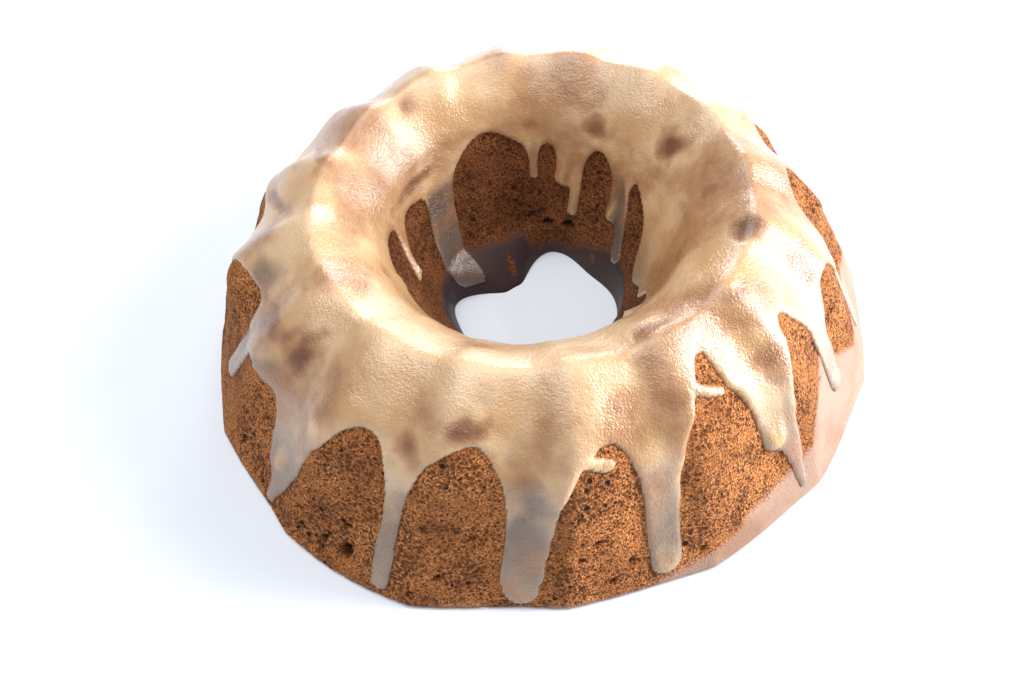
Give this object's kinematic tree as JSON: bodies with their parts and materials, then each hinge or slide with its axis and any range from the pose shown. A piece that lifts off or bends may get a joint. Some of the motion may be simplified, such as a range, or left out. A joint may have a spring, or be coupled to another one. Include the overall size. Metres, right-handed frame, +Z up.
{
  "type": "glazed ring cake",
  "caption": "Whole ring-shaped sponge cake with a fluted outer wall and an open centre, under a thin icing that runs down its grooves and into the hole.",
  "frame": {"origin": "middle of the underside of the bounding box, on the surface that the cake rests on", "axes": "+Z up through the hole; -Y towards the side that the picture was taken from; +X to its right"},
  "size_m": [0.2416, 0.2452, 0.0732],
  "materials": {
    "sponge": "baked golden-brown crumb, open and porous",
    "icing": "wet, slightly translucent pale caramel icing"
  },
  "bodies": {
    "root": {"cake": "sponge", "glaze": "icing"}
  },
  "joints": []
}
